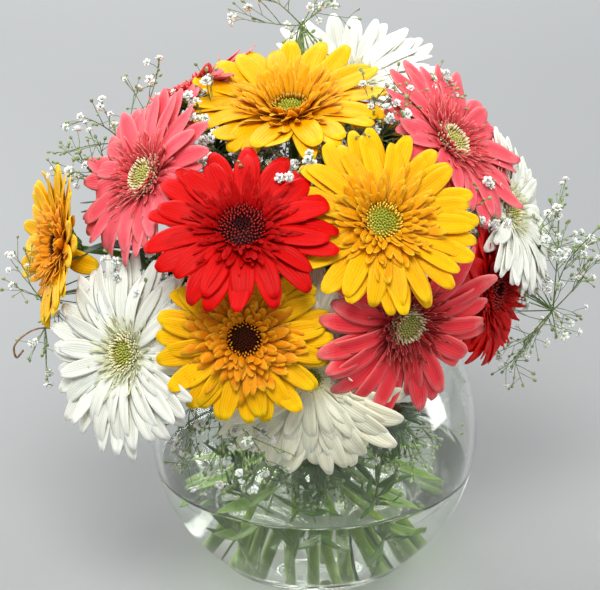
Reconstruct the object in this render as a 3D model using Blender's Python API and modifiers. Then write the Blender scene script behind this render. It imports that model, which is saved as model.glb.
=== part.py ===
"""Gerberas with baby's breath and two leaves in a round glass bowl of water.

Metres, +Z up, origin at the centre of the bowl's base, the front of the bouquet towards -Y.
Bearings are measured from the front (-Y) round towards +X. A lift is the angle above level.
"""
import math
from dataclasses import dataclass
from itertools import product

import bmesh
import bpy
from mathutils import Matrix, Vector
from mathutils.bvhtree import BVHTree

# The bowl: a glass sphere cut flat at the base and open at the top.
BOWL_R = 0.100
BOWL_CENTRE_Z = 0.082
BOWL_HEIGHT = 0.154
WALL = 0.0035
FLOOR = 0.006
RIM_ROUND = 0.0012
BOWL_STEPS = 32
ARC_STEPS = 9

# The water stops a hair short of the glass and of every stem.
WATER_LEVEL = 0.062
GAP = 0.0003
HOLE_CLEARANCE = 0.0004

# Stems cross in the bowl, all leaning the same way round, and leave by its mouth.
STEM_R = 0.0025
FOOT_Z = 0.0095
NECK_Z = 0.148
OUTER_RING = 0.055
SPRAY_RING = 0.0435
INNER_RING = 0.033
TWIST = math.radians(140)
STEM_BEND = 0.42
SPRAY_BEND = 0.30

# Every gerbera has the same build.
PETAL_COUNT = 14
PETAL_THICK = 0.0009
WIDEST = 0.58           # how far out a petal is widest, as a share of its length
BREADTH = 0.50          # half its breadth there and at the tip, as a share of its room
TIP_BREADTH = 0.26
PETAL_LENGTHS = (1.0, 0.9, 0.8, 0.68, 0.56, 0.44, 0.32)
PETAL_DROOPS = (0, 8, -8, 16, 25, 36, 48, 60, 72)
PETAL_LEANS = (0, 0.2, -0.2)
HUB_R = 0.0125
DISC_R = 0.0165
DISC_H = 0.0062
CALYX_R = 0.0095
CALYX_H = 0.010
CALYX_SHAPE = ((0.3, 0.62), (0.7, 0.92), (1.0, 1.0))    # height and radius, as shares

# A sprig's branches leave its stem one after the other and bow upwards a little.
SPRAY_STEM_R = 0.0007
SPRAY_BOW = 0.004
SPRAY_STAGGER = 0.0012
SPRAY_FLOWER_R = 0.0033
FLOWER_SHAPE = ((-0.6, 0.8), (0.1, 1.0), (0.8, 0.55))   # place along and radius, as shares


@dataclass
class Bloom:
    centre: tuple       # of the ring of petals
    bearing: float      # of the way it faces
    lift: float
    radius: float
    width: float        # of a petal, as a share of the room it has
    cup: float          # how far the petal tips stand before the hub
    ring: float         # radius at the bowl's mouth where its stem leaves
    neck: float         # bearing there
    petal: tuple        # colours
    disc: tuple


BLOOMS = {
    "red_front": Bloom((-0.039, -0.100, 0.247), 0, 53, 0.052, 0.92, 0.004, INNER_RING, -27,
                       (0.80, 0.03, 0.02), (0.07, 0.01, 0.02)),
    "yellow_right": Bloom((0.037, -0.086, 0.246), 17, 43, 0.053, 0.85, 0.005, INNER_RING, 20,
                          (1.00, 0.62, 0.03), (0.55, 0.50, 0.06)),
    "yellow_top": Bloom((-0.014, -0.008, 0.286), -12, 74, 0.056, 0.85, 0.012, 0, 0,
                        (0.98, 0.66, 0.05), (0.40, 0.42, 0.10)),
    "pink_left": Bloom((-0.094, -0.047, 0.259), -57, 33, 0.051, 0.85, 0.006, INNER_RING, -70,
                       (0.88, 0.20, 0.24), (0.75, 0.70, 0.35)),
    "pink_right": Bloom((0.078, -0.011, 0.268), 64, 43, 0.054, 0.80, 0.006, INNER_RING, 78,
                        (0.90, 0.30, 0.38), (0.80, 0.66, 0.30)),
    "rose_low": Bloom((0.050, -0.088, 0.188), 33, -4, 0.057, 0.82, 0.004, OUTER_RING, 37,
                      (0.74, 0.06, 0.13), (0.85, 0.45, 0.35)),
    "orange_low": Bloom((-0.038, -0.112, 0.189), 0, 14, 0.047, 0.85, 0.005, OUTER_RING, -22,
                        (1.00, 0.50, 0.04), (0.12, 0.04, 0.01)),
    "white_left": Bloom((-0.104, -0.086, 0.168), -42, 20, 0.057, 0.60, 0.004, OUTER_RING, -55,
                        (0.88, 0.87, 0.78), (0.62, 0.60, 0.30)),
    "yellow_left": Bloom((-0.147, -0.016, 0.206), -68, 14, 0.046, 0.85, 0.012, OUTER_RING, -92,
                         (1.00, 0.58, 0.04), (0.75, 0.45, 0.05)),
    "white_low": Bloom((-0.002, -0.099, 0.161), -2, 2, 0.063, 0.80, 0.001, OUTER_RING, 6,
                       (0.90, 0.88, 0.80), (0.66, 0.60, 0.28)),
    "red_right": Bloom((0.102, -0.030, 0.186), 64, 6, 0.047, 0.85, 0.003, OUTER_RING, 68,
                       (0.78, 0.04, 0.04), (0.14, 0.02, 0.02)),
    "white_right": Bloom((0.112, -0.001, 0.224), 70, 25, 0.052, 0.62, 0.004, OUTER_RING, 98,
                         (0.92, 0.90, 0.82), (0.78, 0.72, 0.34)),
    "white_top": Bloom((0.021, 0.066, 0.281), 10, 72, 0.054, 0.75, 0.016, INNER_RING, 150,
                       (0.92, 0.90, 0.84), (0.60, 0.58, 0.28)),
    "pink_back_left": Bloom((-0.074, 0.034, 0.282), -112, 58, 0.047, 0.80, 0.006, INNER_RING, -118,
                            (0.88, 0.30, 0.30), (0.75, 0.66, 0.32)),
    "red_back": Bloom((-0.052, 0.088, 0.262), -156, 52, 0.048, 0.88, 0.004, INNER_RING, -160,
                      (0.76, 0.03, 0.03), (0.08, 0.01, 0.02)),
    "salmon_right_back": Bloom((0.116, 0.064, 0.190), 106, 8, 0.048, 0.80, 0.003, OUTER_RING, 132,
                               (0.92, 0.34, 0.26), (0.80, 0.62, 0.30)),
    "yellow_back": Bloom((0.030, 0.128, 0.198), 170, 12, 0.048, 0.85, 0.003, OUTER_RING, 172,
                         (1.00, 0.60, 0.05), (0.50, 0.46, 0.08)),
}

# name: bearing at the bowl's mouth, joint of the branches, and the ends of the branches.
SPRAYS = {
    "spray_right": (112, (0.116, 0.036, 0.166),
                    [(0.150, 0.040, 0.206), (0.166, 0.030, 0.194), (0.164, 0.038, 0.166),
                     (0.150, 0.036, 0.143), (0.132, 0.030, 0.128), (0.122, 0.018, 0.112)]),
    "spray_top": (178, (-0.010, 0.078, 0.284),
                  [(-0.036, 0.060, 0.324), (-0.026, 0.052, 0.338), (-0.006, 0.058, 0.318),
                   (0.006, 0.062, 0.332), (0.014, 0.088, 0.344)]),
    "spray_left": (-84, (-0.112, 0.014, 0.166),
                   [(-0.172, -0.002, 0.188), (-0.166, -0.012, 0.172), (-0.160, -0.026, 0.132),
                    (-0.150, 0.012, 0.146)]),
    "spray_back_left": (-138, (-0.112, 0.062, 0.232),
                        [(-0.140, 0.030, 0.272), (-0.152, 0.024, 0.250), (-0.094, 0.056, 0.300),
                         (-0.112, 0.094, 0.272), (-0.124, 0.076, 0.246)]),
    "spray_front_low": (-38, (-0.054, -0.074, 0.160),
                        [(-0.072, -0.086, 0.122), (-0.065, -0.098, 0.110), (-0.052, -0.108, 0.106),
                         (-0.036, -0.114, 0.103), (-0.022, -0.117, 0.108)]),
}

# name: bearing at the bowl's mouth, the midrib's points outside the bowl, half width.
LEAVES = {
    "leaf_left": (-70, [(-0.070, -0.012, 0.178), (-0.096, -0.026, 0.204), (-0.120, -0.034, 0.212),
                        (-0.140, -0.044, 0.208)], 0.010),
    "leaf_low": (22, [(0.024, -0.052, 0.156), (0.036, -0.056, 0.138), (0.046, -0.057, 0.115),
                      (0.050, -0.056, 0.090)], 0.0035),
}
LEAF_WIDTHS = (0.12, 1.0, 0.9, 0.12)
LEAF_THICK = 0.0008

GREEN = (0.16, 0.30, 0.06)


def clear_scene():
    for thing in list(bpy.data.objects):
        bpy.data.objects.remove(thing, do_unlink=True)


def new_collection(name):
    group = bpy.data.collections.new(name)
    bpy.context.scene.collection.children.link(group)
    return group


def paint(thing, colour, roughness=0.5, transmission=0.0):
    material = bpy.data.materials.new(thing.name)
    material.use_nodes = True
    shader = material.node_tree.nodes["Principled BSDF"]
    shader.inputs["Base Color"].default_value = (*colour, 1.0)
    shader.inputs["Roughness"].default_value = roughness
    shader.inputs["Transmission Weight"].default_value = transmission
    material.diffuse_color = (*colour, 1.0)
    thing.data.materials.clear()
    thing.data.materials.append(material)


def smooth(mesh, on=True):
    mesh.polygons.foreach_set("use_smooth", [on] * len(mesh.polygons))


def as_mesh(source, name, group):
    """A plain mesh object holding what source evaluates to; source is removed."""
    bpy.context.view_layer.update()
    graph = bpy.context.evaluated_depsgraph_get()
    mesh = bpy.data.meshes.new_from_object(source.evaluated_get(graph))
    bpy.data.objects.remove(source, do_unlink=True)
    bm = bmesh.new()
    bm.from_mesh(mesh)
    bmesh.ops.remove_doubles(bm, verts=bm.verts, dist=1e-6)
    bmesh.ops.recalc_face_normals(bm, faces=bm.faces)
    bm.to_mesh(mesh)
    bm.free()
    mesh.name = name
    thing = bpy.data.objects.new(name, mesh)
    group.objects.link(thing)
    smooth(mesh)
    return thing


def tube(name, runs, depth, group, resolution=1):
    """Closed round tubes along runs of (point, radius share)."""
    curve = bpy.data.curves.new(name, "CURVE")
    curve.dimensions = "3D"
    curve.bevel_depth = depth
    curve.bevel_resolution = resolution
    curve.use_fill_caps = True
    for run in runs:
        spline = curve.splines.new("POLY")
        spline.points.add(len(run) - 1)
        for spot, (place, share) in zip(spline.points, run):
            spot.co = (*place, 1.0)
            spot.radius = share
    source = bpy.data.objects.new(name + "_line", curve)
    group.objects.link(source)
    return as_mesh(source, name, group)


def turned(name, profile, steps, group):
    """A solid turned about Z from a profile at +X running down its outer side."""
    mesh = bpy.data.meshes.new(name)
    mesh.from_pydata([(r, 0.0, z) for r, z in profile],
                     [(i, i + 1) for i in range(len(profile) - 1)], [])
    thing = bpy.data.objects.new(name, mesh)
    group.objects.link(thing)
    screw = thing.modifiers.new("turn", "SCREW")
    screw.steps = screw.render_steps = steps
    screw.use_merge_vertices = True
    screw.merge_threshold = 1e-5
    screw.use_normal_calculate = True
    return as_mesh(thing, name, group)


def bearing_vector(bearing, lift=0.0):
    b, e = math.radians(bearing), math.radians(lift)
    return Vector((math.sin(b) * math.cos(e), -math.cos(b) * math.cos(e), math.sin(e)))


def in_bowl(ring, bearing, z):
    """A point at height z on the straight part of a stem that leaves the mouth at a bearing."""
    neck = bearing_vector(bearing) * ring
    foot = Matrix.Rotation(TWIST, 3, "Z") @ neck
    t = (z - FOOT_Z) / (NECK_Z - FOOT_Z)
    spot = foot.lerp(neck, t)
    spot.z = z
    return spot


def bezier(a, b, c, d, t):
    return a * (1 - t) ** 3 + b * 3 * t * (1 - t) ** 2 + c * 3 * t * t * (1 - t) + d * t ** 3


def sweep_from_neck(ring, bearing, end, arrive, bend, steps):
    """Points from the foot, straight up through the mouth, then bending to the end."""
    foot = in_bowl(ring, bearing, FOOT_Z)
    neck = in_bowl(ring, bearing, NECK_Z)
    leave = (neck - foot).normalized()
    points = [foot, in_bowl(ring, bearing, WATER_LEVEL * 0.6), in_bowl(ring, bearing, 0.105)]
    for i in range(steps + 1):
        points.append(bezier(neck, neck + leave * bend, end - arrive * bend, end, i / steps))
    return points


def arc(radius, low, high, steps):
    """Points of the bowl's sphere from height high down to height low."""
    top = math.asin((high - BOWL_CENTRE_Z) / radius)
    bottom = math.asin((low - BOWL_CENTRE_Z) / radius)
    for i in range(steps + 1):
        a = top + (bottom - top) * i / steps
        yield radius * math.cos(a), BOWL_CENTRE_Z + radius * math.sin(a)


def bowl(group):
    outer = list(arc(BOWL_R, 0.0, BOWL_HEIGHT - RIM_ROUND, ARC_STEPS))
    inner = list(arc(BOWL_R - WALL, FLOOR, BOWL_HEIGHT - RIM_ROUND, ARC_STEPS))
    rim = [(inner[0][0] + RIM_ROUND, BOWL_HEIGHT), (outer[0][0] - RIM_ROUND, BOWL_HEIGHT)]
    profile = [(0.0, FLOOR)] + inner[::-1] + rim + outer + [(0.0, 0.0)]
    thing = turned("glass_bowl", profile, BOWL_STEPS, group)
    paint(thing, (0.90, 0.96, 0.93), 0.02, 1.0)
    return thing


def bloom_frame(bloom):
    """Places a bloom built about the origin, facing +Z."""
    face = bearing_vector(bloom.bearing, bloom.lift)
    return Matrix.Translation(bloom.centre) @ face.to_track_quat("Z", "Y").to_matrix().to_4x4()


def stem_path(bloom):
    face = bearing_vector(bloom.bearing, bloom.lift)
    end = Vector(bloom.centre) - face * (CALYX_H + PETAL_THICK / 2 + GAP)
    bend = (end - in_bowl(bloom.ring, bloom.neck, NECK_Z)).length * STEM_BEND
    return sweep_from_neck(bloom.ring, bloom.neck, end, face, bend, 5), face


def stem(name, bloom, group, extra=0.0):
    """The stem, widening at its top into the green cup under the petals."""
    points, face = stem_path(bloom)
    run = [(p, 1.0) for p in points]
    if extra:
        run[0] = (points[0] - (points[1] - points[0]).normalized() * extra, 1.0)
        run = [(p, s) for p, s in run if p.z < BOWL_HEIGHT]
    else:
        for height, share in CALYX_SHAPE:
            run.append((points[-1] + face * CALYX_H * height, share * CALYX_R / STEM_R))
    thing = tube(name, [run], STEM_R + extra, group)
    paint(thing, GREEN)
    return thing


def heart(name, bloom, group):
    """The domed disc of small florets, seated just above the petals."""
    profile = [(0.0, 0.0), (HUB_R * 0.96, 0.0), (DISC_R, DISC_H * 0.5), (DISC_R * 0.74, DISC_H * 0.92),
               (DISC_R * 0.34, DISC_H), (0.0, DISC_H * 0.86)]
    thing = turned(name, profile[::-1], 12, group)
    thing.data.transform(bloom_frame(bloom) @ Matrix.Translation((0, 0, PETAL_THICK / 2 + GAP)))
    paint(thing, bloom.disc, 0.8)
    return thing


def solid_tree(thing):
    bpy.context.view_layer.update()
    graph = bpy.context.evaluated_depsgraph_get()
    return BVHTree.FromObject(thing, graph)


def petal_outline(k, bloom, length, droop, lean):
    """The six corners of one petal in the bloom's own frame, two at a time from the base out."""
    step = 2 * math.pi / PETAL_COUNT
    half_base = math.pi / (2 * PETAL_COUNT)
    full = bloom.radius - HUB_R
    corners = []
    for share, half in ((0.0, HUB_R * math.sin(half_base)), (WIDEST, None), (1.0, None)):
        run = full * length * share
        if share:
            breadth = BREADTH if share < 1 else TIP_BREADTH
            half = step * (HUB_R + full * length * WIDEST) * breadth * bloom.width
            out = HUB_R + run * math.cos(droop)
            way = (k + lean) * step
        else:
            out = HUB_R * math.cos(half_base)
            way = k * step
        height = bloom.cup * (run / full) ** 2 - run * math.sin(droop)
        radial = Vector((math.cos(way), math.sin(way), 0))
        side = Vector((-math.sin(way), math.cos(way), 0))
        for sign in (-1, 1):
            corners.append(radial * out + side * half * sign + Vector((0, 0, height)))
    return corners


def petal_clear(corners, place, obstacles):
    """True when a petal thickened a little cuts none of the obstacles."""
    grow = PETAL_THICK / 2 + GAP * 2
    top, low = [], []
    for i in range(0, 6, 2):
        j = min(i, 2)
        side = (corners[j + 1] - corners[j]).normalized()
        along = (corners[j + 2] - corners[j]).normalized()
        up = along.cross(side).normalized() * grow
        for corner, sign in ((corners[i], -1), (corners[i + 1], 1)):
            spread = side * sign * grow if i else Vector()
            top.append(place @ (corner + up + spread))
            low.append(place @ (corner - up + spread))
    faces = [(0, 1, 3, 2), (2, 3, 5, 4), (6, 8, 9, 7), (8, 10, 11, 9), (0, 2, 8, 6), (2, 4, 10, 8),
             (1, 7, 9, 3), (3, 9, 11, 5), (4, 5, 11, 10)]
    tree = BVHTree.FromPolygons(top + low, faces)
    return not any(tree.overlap(other) for other in obstacles)


def fit_petal(k, bloom, place, obstacles):
    """The fullest petal that is clear, trying bends and leans at each length."""
    for length, droop, lean in product(PETAL_LENGTHS, PETAL_DROOPS, PETAL_LEANS):
        corners = petal_outline(k, bloom, length, math.radians(droop), lean)
        if petal_clear(corners, place, obstacles):
            return corners
    return None


def hub_edge(bm, corners):
    """The edge of the hub that a petal grows from."""
    middle = (corners[0] + corners[1]) / 2
    rim = [e for e in bm.edges if all(abs(v.co.xy.length - HUB_R) < 1e-6 for v in e.verts)]
    return min(rim, key=lambda e: ((e.verts[0].co + e.verts[1].co) / 2 - middle).length)


def petals(name, bloom, group, obstacles):
    """A ring of petals cut from one sheet; each bends or shortens until it clears the rest."""
    place = bloom_frame(bloom)
    bm = bmesh.new()
    bmesh.ops.create_circle(bm, cap_ends=True, segments=2 * PETAL_COUNT, radius=HUB_R)
    turn = Matrix.Rotation(-math.pi / (2 * PETAL_COUNT), 3, "Z")
    bmesh.ops.rotate(bm, verts=bm.verts, matrix=turn)
    for k in range(PETAL_COUNT):
        corners = fit_petal(k, bloom, place, obstacles)
        if corners is None:
            continue
        edge = hub_edge(bm, corners)
        for row in (2, 4):
            new = bmesh.ops.extrude_edge_only(bm, edges=[edge])["geom"]
            edge = next(g for g in new if isinstance(g, bmesh.types.BMEdge))
            ends = sorted(edge.verts, key=lambda v: (v.co - corners[row - 2]).length)
            ends[0].co, ends[1].co = corners[row], corners[row + 1]
    bmesh.ops.recalc_face_normals(bm, faces=bm.faces)
    bm.transform(place)
    mesh = bpy.data.meshes.new(name)
    bm.to_mesh(mesh)
    bm.free()
    thing = bpy.data.objects.new(name, mesh)
    group.objects.link(thing)
    shell = thing.modifiers.new("thickness", "SOLIDIFY")
    shell.thickness = PETAL_THICK
    shell.offset = 0.0
    paint(thing, bloom.petal, 0.55)
    return thing


def unite(thing, tool):
    cut = thing.modifiers.new("join", "BOOLEAN")
    cut.operation = "UNION"
    cut.solver = "EXACT"
    cut.object = tool
    bpy.context.view_layer.update()


def spray(name, spec, group, cutters, extra=0.0):
    """A sprig of baby's breath: a wiry stem and branches that end in small round flowers."""
    neck_bearing, joint, ends = spec
    joint = Vector(joint)
    neck = in_bowl(SPRAY_RING, neck_bearing, NECK_Z)
    arrive = (joint - neck).normalized()
    bend = (joint - neck).length * SPRAY_BEND
    path = sweep_from_neck(SPRAY_RING, neck_bearing, joint, arrive, bend, 4)
    run = [(p, 1.0) for p in path]
    if extra:
        run[0] = (path[0] - (path[1] - path[0]).normalized() * extra, 1.0)
        run = [(p, s) for p, s in run if p.z < BOWL_HEIGHT]
        return tube(name, [run], SPRAY_STEM_R + extra, group)
    run.append((joint + arrive * 0.004, 1.6))
    thing = tube(name + "_main", [run], SPRAY_STEM_R, group)
    full = SPRAY_FLOWER_R / SPRAY_STEM_R
    for i, end in enumerate(ends):
        end = Vector(end)
        start = joint - arrive * SPRAY_STAGGER * i
        bulge = (start + end) / 2 + Vector((0, 0, SPRAY_BOW))
        way = (end - bulge).normalized() * SPRAY_FLOWER_R
        wire = [(start, 0.9), (bulge, 0.9), (end - way, 0.9)]
        wire += [(end + way * along, full * share) for along, share in FLOWER_SHAPE]
        unite(thing, tube(name + "_branch", [wire], SPRAY_STEM_R, cutters))
    done = as_mesh(thing, name, group)
    paint(done, (0.86, 0.90, 0.78), 0.7)
    return done


def blade(name, midrib, half, cutters):
    """A thin pointed strip along a midrib, its upper face turned up and outwards."""
    mesh = bpy.data.meshes.new(name + "_blade")
    last = len(midrib) - 1
    verts = []
    for i, (spot, width) in enumerate(zip(midrib, LEAF_WIDTHS)):
        along = (midrib[min(i + 1, last)] - midrib[max(i - 1, 0)]).normalized()
        outwards = spot.xy.to_3d().normalized() + Vector((0, 0, 0.6))
        side = along.cross(outwards).normalized() * half * width
        verts += [spot - side, spot + side]
    mesh.from_pydata(verts, [], [(2 * i, 2 * i + 1, 2 * i + 3, 2 * i + 2) for i in range(last)])
    strip = bpy.data.objects.new(name + "_blade", mesh)
    cutters.objects.link(strip)
    shell = strip.modifiers.new("thickness", "SOLIDIFY")
    shell.thickness = LEAF_THICK
    shell.offset = 0.0
    return strip


def leaf(name, spec, group, cutters, extra=0.0):
    """A pointed leaf on a thin stalk that stands in the bowl."""
    neck_bearing, ways, half = spec
    points = [in_bowl(SPRAY_RING, neck_bearing, z) for z in (FOOT_Z, WATER_LEVEL * 0.6, 0.105, NECK_Z)]
    stalk = [(p, 1.0) for p in points]
    if extra:
        stalk[0] = (points[0] - (points[1] - points[0]).normalized() * extra, 1.0)
        return tube(name, [stalk], SPRAY_STEM_R + extra, group)
    ways = [Vector(w) for w in ways]
    stalk += [(ways[0], 1.0), (ways[0].lerp(ways[1], 0.15), 0.8)]
    thing = tube(name + "_stalk", [stalk], SPRAY_STEM_R, group)
    unite(thing, blade(name, ways, half, cutters))
    done = as_mesh(thing, name, group)
    smooth(done.data, False)
    paint(done, (0.06, 0.17, 0.05), 0.45)
    return done


def water(group, cutters):
    """The water, with room left for every stem that stands in it."""
    span = math.asin((WATER_LEVEL - BOWL_CENTRE_Z) / BOWL_R) - math.asin((FLOOR - BOWL_CENTRE_Z) / BOWL_R)
    flat_sided = (BOWL_R - WALL) * math.cos(span / 6)
    inside = list(arc(flat_sided - GAP, FLOOR + GAP, WATER_LEVEL, 6))
    profile = [(0.0, WATER_LEVEL)] + inside + [(0.0, FLOOR + GAP)]
    thing = turned("water_full", profile, BOWL_STEPS, group)
    tools = [stem("hole_" + n, s, cutters, HOLE_CLEARANCE) for n, s in BLOOMS.items()]
    tools += [spray("hole_" + n, s, cutters, cutters, HOLE_CLEARANCE) for n, s in SPRAYS.items()]
    tools += [leaf("hole_" + n, s, cutters, cutters, HOLE_CLEARANCE) for n, s in LEAVES.items()]
    for tool in tools:
        cut = thing.modifiers.new("hole", "BOOLEAN")
        cut.operation = "DIFFERENCE"
        cut.solver = "EXACT"
        cut.object = tool
    done = as_mesh(thing, "water", group)
    smooth(done.data, False)
    paint(done, (0.80, 0.90, 0.88), 0.02, 1.0)
    return done


def build():
    clear_scene()
    group = new_collection("gerberas_in_bowl")
    cutters = new_collection("cutters")
    fixed = [bowl(group)]
    water(group, cutters)
    for name, bloom in BLOOMS.items():
        fixed.append(stem(name + "_stem", bloom, group))
        fixed.append(heart(name + "_heart", bloom, group))
    fixed += [spray(name, spec, group, cutters) for name, spec in SPRAYS.items()]
    fixed += [leaf(name, spec, group, cutters) for name, spec in LEAVES.items()]
    obstacles = {thing.name: solid_tree(thing) for thing in fixed}
    for name, bloom in BLOOMS.items():
        own = (name + "_stem", name + "_heart")
        ring = petals(name + "_petals", bloom, group, [t for n, t in obstacles.items() if n not in own])
        obstacles[ring.name] = solid_tree(ring)
    for thing in list(cutters.objects):
        thing.hide_render = True
        thing.display_type = "WIRE"


build()
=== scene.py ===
import math
import random

import bmesh
import bpy
import numpy as np
from mathutils import Matrix, Vector


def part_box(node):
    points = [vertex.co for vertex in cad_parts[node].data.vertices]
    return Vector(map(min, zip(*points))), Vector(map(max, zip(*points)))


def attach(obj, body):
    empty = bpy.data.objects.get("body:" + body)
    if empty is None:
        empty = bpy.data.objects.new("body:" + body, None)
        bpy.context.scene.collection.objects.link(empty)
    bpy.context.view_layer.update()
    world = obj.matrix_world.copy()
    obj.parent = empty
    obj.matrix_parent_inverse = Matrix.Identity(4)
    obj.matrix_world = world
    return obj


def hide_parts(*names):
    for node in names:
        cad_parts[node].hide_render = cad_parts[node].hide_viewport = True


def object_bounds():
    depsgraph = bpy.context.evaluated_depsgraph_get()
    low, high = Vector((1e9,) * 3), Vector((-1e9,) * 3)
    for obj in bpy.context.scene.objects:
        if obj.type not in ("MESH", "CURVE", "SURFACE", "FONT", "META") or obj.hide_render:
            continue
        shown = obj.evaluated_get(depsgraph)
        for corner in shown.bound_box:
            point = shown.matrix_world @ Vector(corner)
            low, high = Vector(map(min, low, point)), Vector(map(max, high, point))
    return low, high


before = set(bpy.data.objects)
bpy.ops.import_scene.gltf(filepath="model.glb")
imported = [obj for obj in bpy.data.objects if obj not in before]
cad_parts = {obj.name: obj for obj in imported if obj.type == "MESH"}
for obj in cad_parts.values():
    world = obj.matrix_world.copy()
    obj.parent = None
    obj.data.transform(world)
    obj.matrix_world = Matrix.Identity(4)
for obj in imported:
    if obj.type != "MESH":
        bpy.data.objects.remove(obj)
cad_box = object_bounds()
chance = random.Random(7)
between = chance.uniform


def mm(length):
    """Metres from millimetres."""
    return length / 1000


def places(points):
    """Points given in millimetres, in metres."""
    return [tuple(map(mm, point)) for point in points]


# ---------------------------------------------------------------- camera and light

CAMERA_PLACE = (0.0, -1.178, 0.638)
CAMERA_AIM = (-0.0086, 0.0, 0.1695)
CAMERA_LENS = 126.7


def aim(thing, target):
    way = Vector(target) - thing.location
    thing.rotation_euler = way.to_track_quat("-Z", "Y").to_euler()


def camera():
    bpy.ops.object.camera_add(location=CAMERA_PLACE)
    eye = bpy.context.object
    eye.name = "camera"
    aim(eye, CAMERA_AIM)
    eye.data.lens = CAMERA_LENS
    eye.data.sensor_width = 36
    eye.data.clip_start = 0.05
    bpy.context.scene.camera = eye


def softbox(name, place, target, size, power, colour=(1, 1, 1)):
    bpy.ops.object.light_add(type="AREA", location=place)
    lamp = bpy.context.object
    lamp.name = name
    lamp.data.shape = "RECTANGLE"
    lamp.data.size, lamp.data.size_y = size
    lamp.data.energy = power
    lamp.data.color = colour
    aim(lamp, target)


def studio():
    middle = (0, 0, 0.17)
    softbox("key_softbox", (-0.14, -1.15, 1.80), middle, (1.0, 0.8), 42)
    softbox("side_softbox", (1.10, 0.10, 0.30), middle, (0.30, 0.50), 4)
    softbox("far_softbox", (-0.95, 0.55, 0.34), (0.05, 0, 0.06), (0.20, 0.42), 5)
    softbox("back_softbox", (-0.3, 2.5, 2.2), (0, 2.0, 0), (3.2, 1.2), 120)
    world = bpy.data.worlds.new("studio_air")
    bpy.context.scene.world = world
    world.use_nodes = True
    air = world.node_tree.nodes["Background"]
    air.inputs["Color"].default_value = (0.93, 0.97, 1.0, 1)
    air.inputs["Strength"].default_value = 0.58
    bpy.context.scene.view_settings.view_transform = "Standard"


# ---------------------------------------------------------------- shader maths


class Wire:
    """A shader socket that takes part in sums."""

    def __init__(self, paint, socket):
        self.paint, self.socket = paint, socket

    def _do(self, operation, *values):
        return self.paint.node("ShaderNodeMath", {"operation": operation}, *values)

    def __add__(self, other):
        return self._do("ADD", self, other)

    __radd__ = __add__

    def __sub__(self, other):
        return self._do("SUBTRACT", self, other)

    def __rsub__(self, other):
        return self._do("SUBTRACT", other, self)

    def __mul__(self, other):
        return self._do("MULTIPLY", self, other)

    __rmul__ = __mul__

    def __pow__(self, other):
        return self._do("POWER", self, other)

    def __abs__(self):
        return self._do("ABSOLUTE", self)

    def sine(self):
        return self._do("SINE", self)

    def at_most(self, other):
        return self._do("MINIMUM", self, other)

    def rise(self, low, high):
        """0 below low, 1 above high, smooth between."""
        return self.paint.node("ShaderNodeMapRange", {"interpolation_type": "SMOOTHSTEP"},
                               self, low, high, 0.0, 1.0)


class Paint:
    """One material; its nodes are made by one method."""

    def __init__(self, name, **surface):
        self.material = bpy.data.materials.new(name)
        self.material.use_nodes = True
        self.tree = self.material.node_tree
        self.surface = self.tree.nodes["Principled BSDF"]
        self.output = self.tree.nodes["Material Output"]
        for socket, value in surface.items():
            self.set(socket.replace("_", " ").title().replace("Ior", "IOR"), value)

    def set(self, socket, value):
        self._feed(self.surface.inputs[socket], value)

    def _feed(self, socket, value):
        if isinstance(value, Wire):
            self.tree.links.new(value.socket, socket)
        elif socket.type == "RGBA" and len(value) == 3:
            socket.default_value = (*value, 1)
        else:
            socket.default_value = value

    def node(self, kind, settings=None, *values, out=0, **named):
        made = self.tree.nodes.new(kind)
        for key, value in (settings or {}).items():
            if key == "stops":
                ramp = made.color_ramp
                while len(ramp.elements) < len(value):
                    ramp.elements.new(0.5)
                for element, (place, colour) in zip(ramp.elements, value):
                    element.position, element.color = place, (*colour, 1)
            else:
                setattr(made, key, value)
        for socket, value in zip(made.inputs, values):
            self._feed(socket, value)
        for socket, value in named.items():
            self._feed(made.inputs[socket], value)
        return Wire(self, made.outputs[out])

    def mix(self, share, first, second, blend="MIX"):
        made = self.tree.nodes.new("ShaderNodeMix")
        made.data_type, made.blend_type = "RGBA", blend
        for index, value in ((0, share), (6, first), (7, second)):
            self._feed(made.inputs[index], value)
        return Wire(self, made.outputs[2])

    def shaded(self, colour, shade):
        """A colour times a number."""
        grey = self.node("ShaderNodeCombineColor", None, shade, shade, shade)
        return self.mix(1.0, colour, grey, "MULTIPLY")

    def ramp(self, share, *stops):
        return self.node("ShaderNodeValToRGB", {"stops": stops}, share)

    def place(self):
        return self.node("ShaderNodeTexCoord", out=3)

    def noise(self, where, scale, detail=3.0, roughness=0.5):
        return self.node("ShaderNodeTexNoise", None, Vector=where, Scale=scale, Detail=detail,
                         Roughness=roughness)

    def parts(self, vector):
        """The three numbers of a vector."""
        apart = self.tree.nodes.new("ShaderNodeSeparateXYZ")
        self.tree.links.new(vector.socket, apart.inputs[0])
        return [Wire(self, number) for number in apart.outputs]

    def uv(self):
        return self.parts(self.node("ShaderNodeUVMap", {"uv_map": "UVMap"}))[:2]

    def attribute(self, name):
        return self.node("ShaderNodeAttribute", {"attribute_name": name}, out=2)

    def bump(self, height, distance, strength=1.0):
        self.set("Normal", self.node("ShaderNodeBump", None, Height=height, Distance=distance,
                                     Strength=strength))


def linear(red, green, blue):
    """A colour given in everyday screen values 0 to 255."""
    parts = [v / 255 for v in (red, green, blue)]
    return tuple(v / 12.92 if v <= 0.04045 else ((v + 0.055) / 1.055) ** 2.4 for v in parts)


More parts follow.
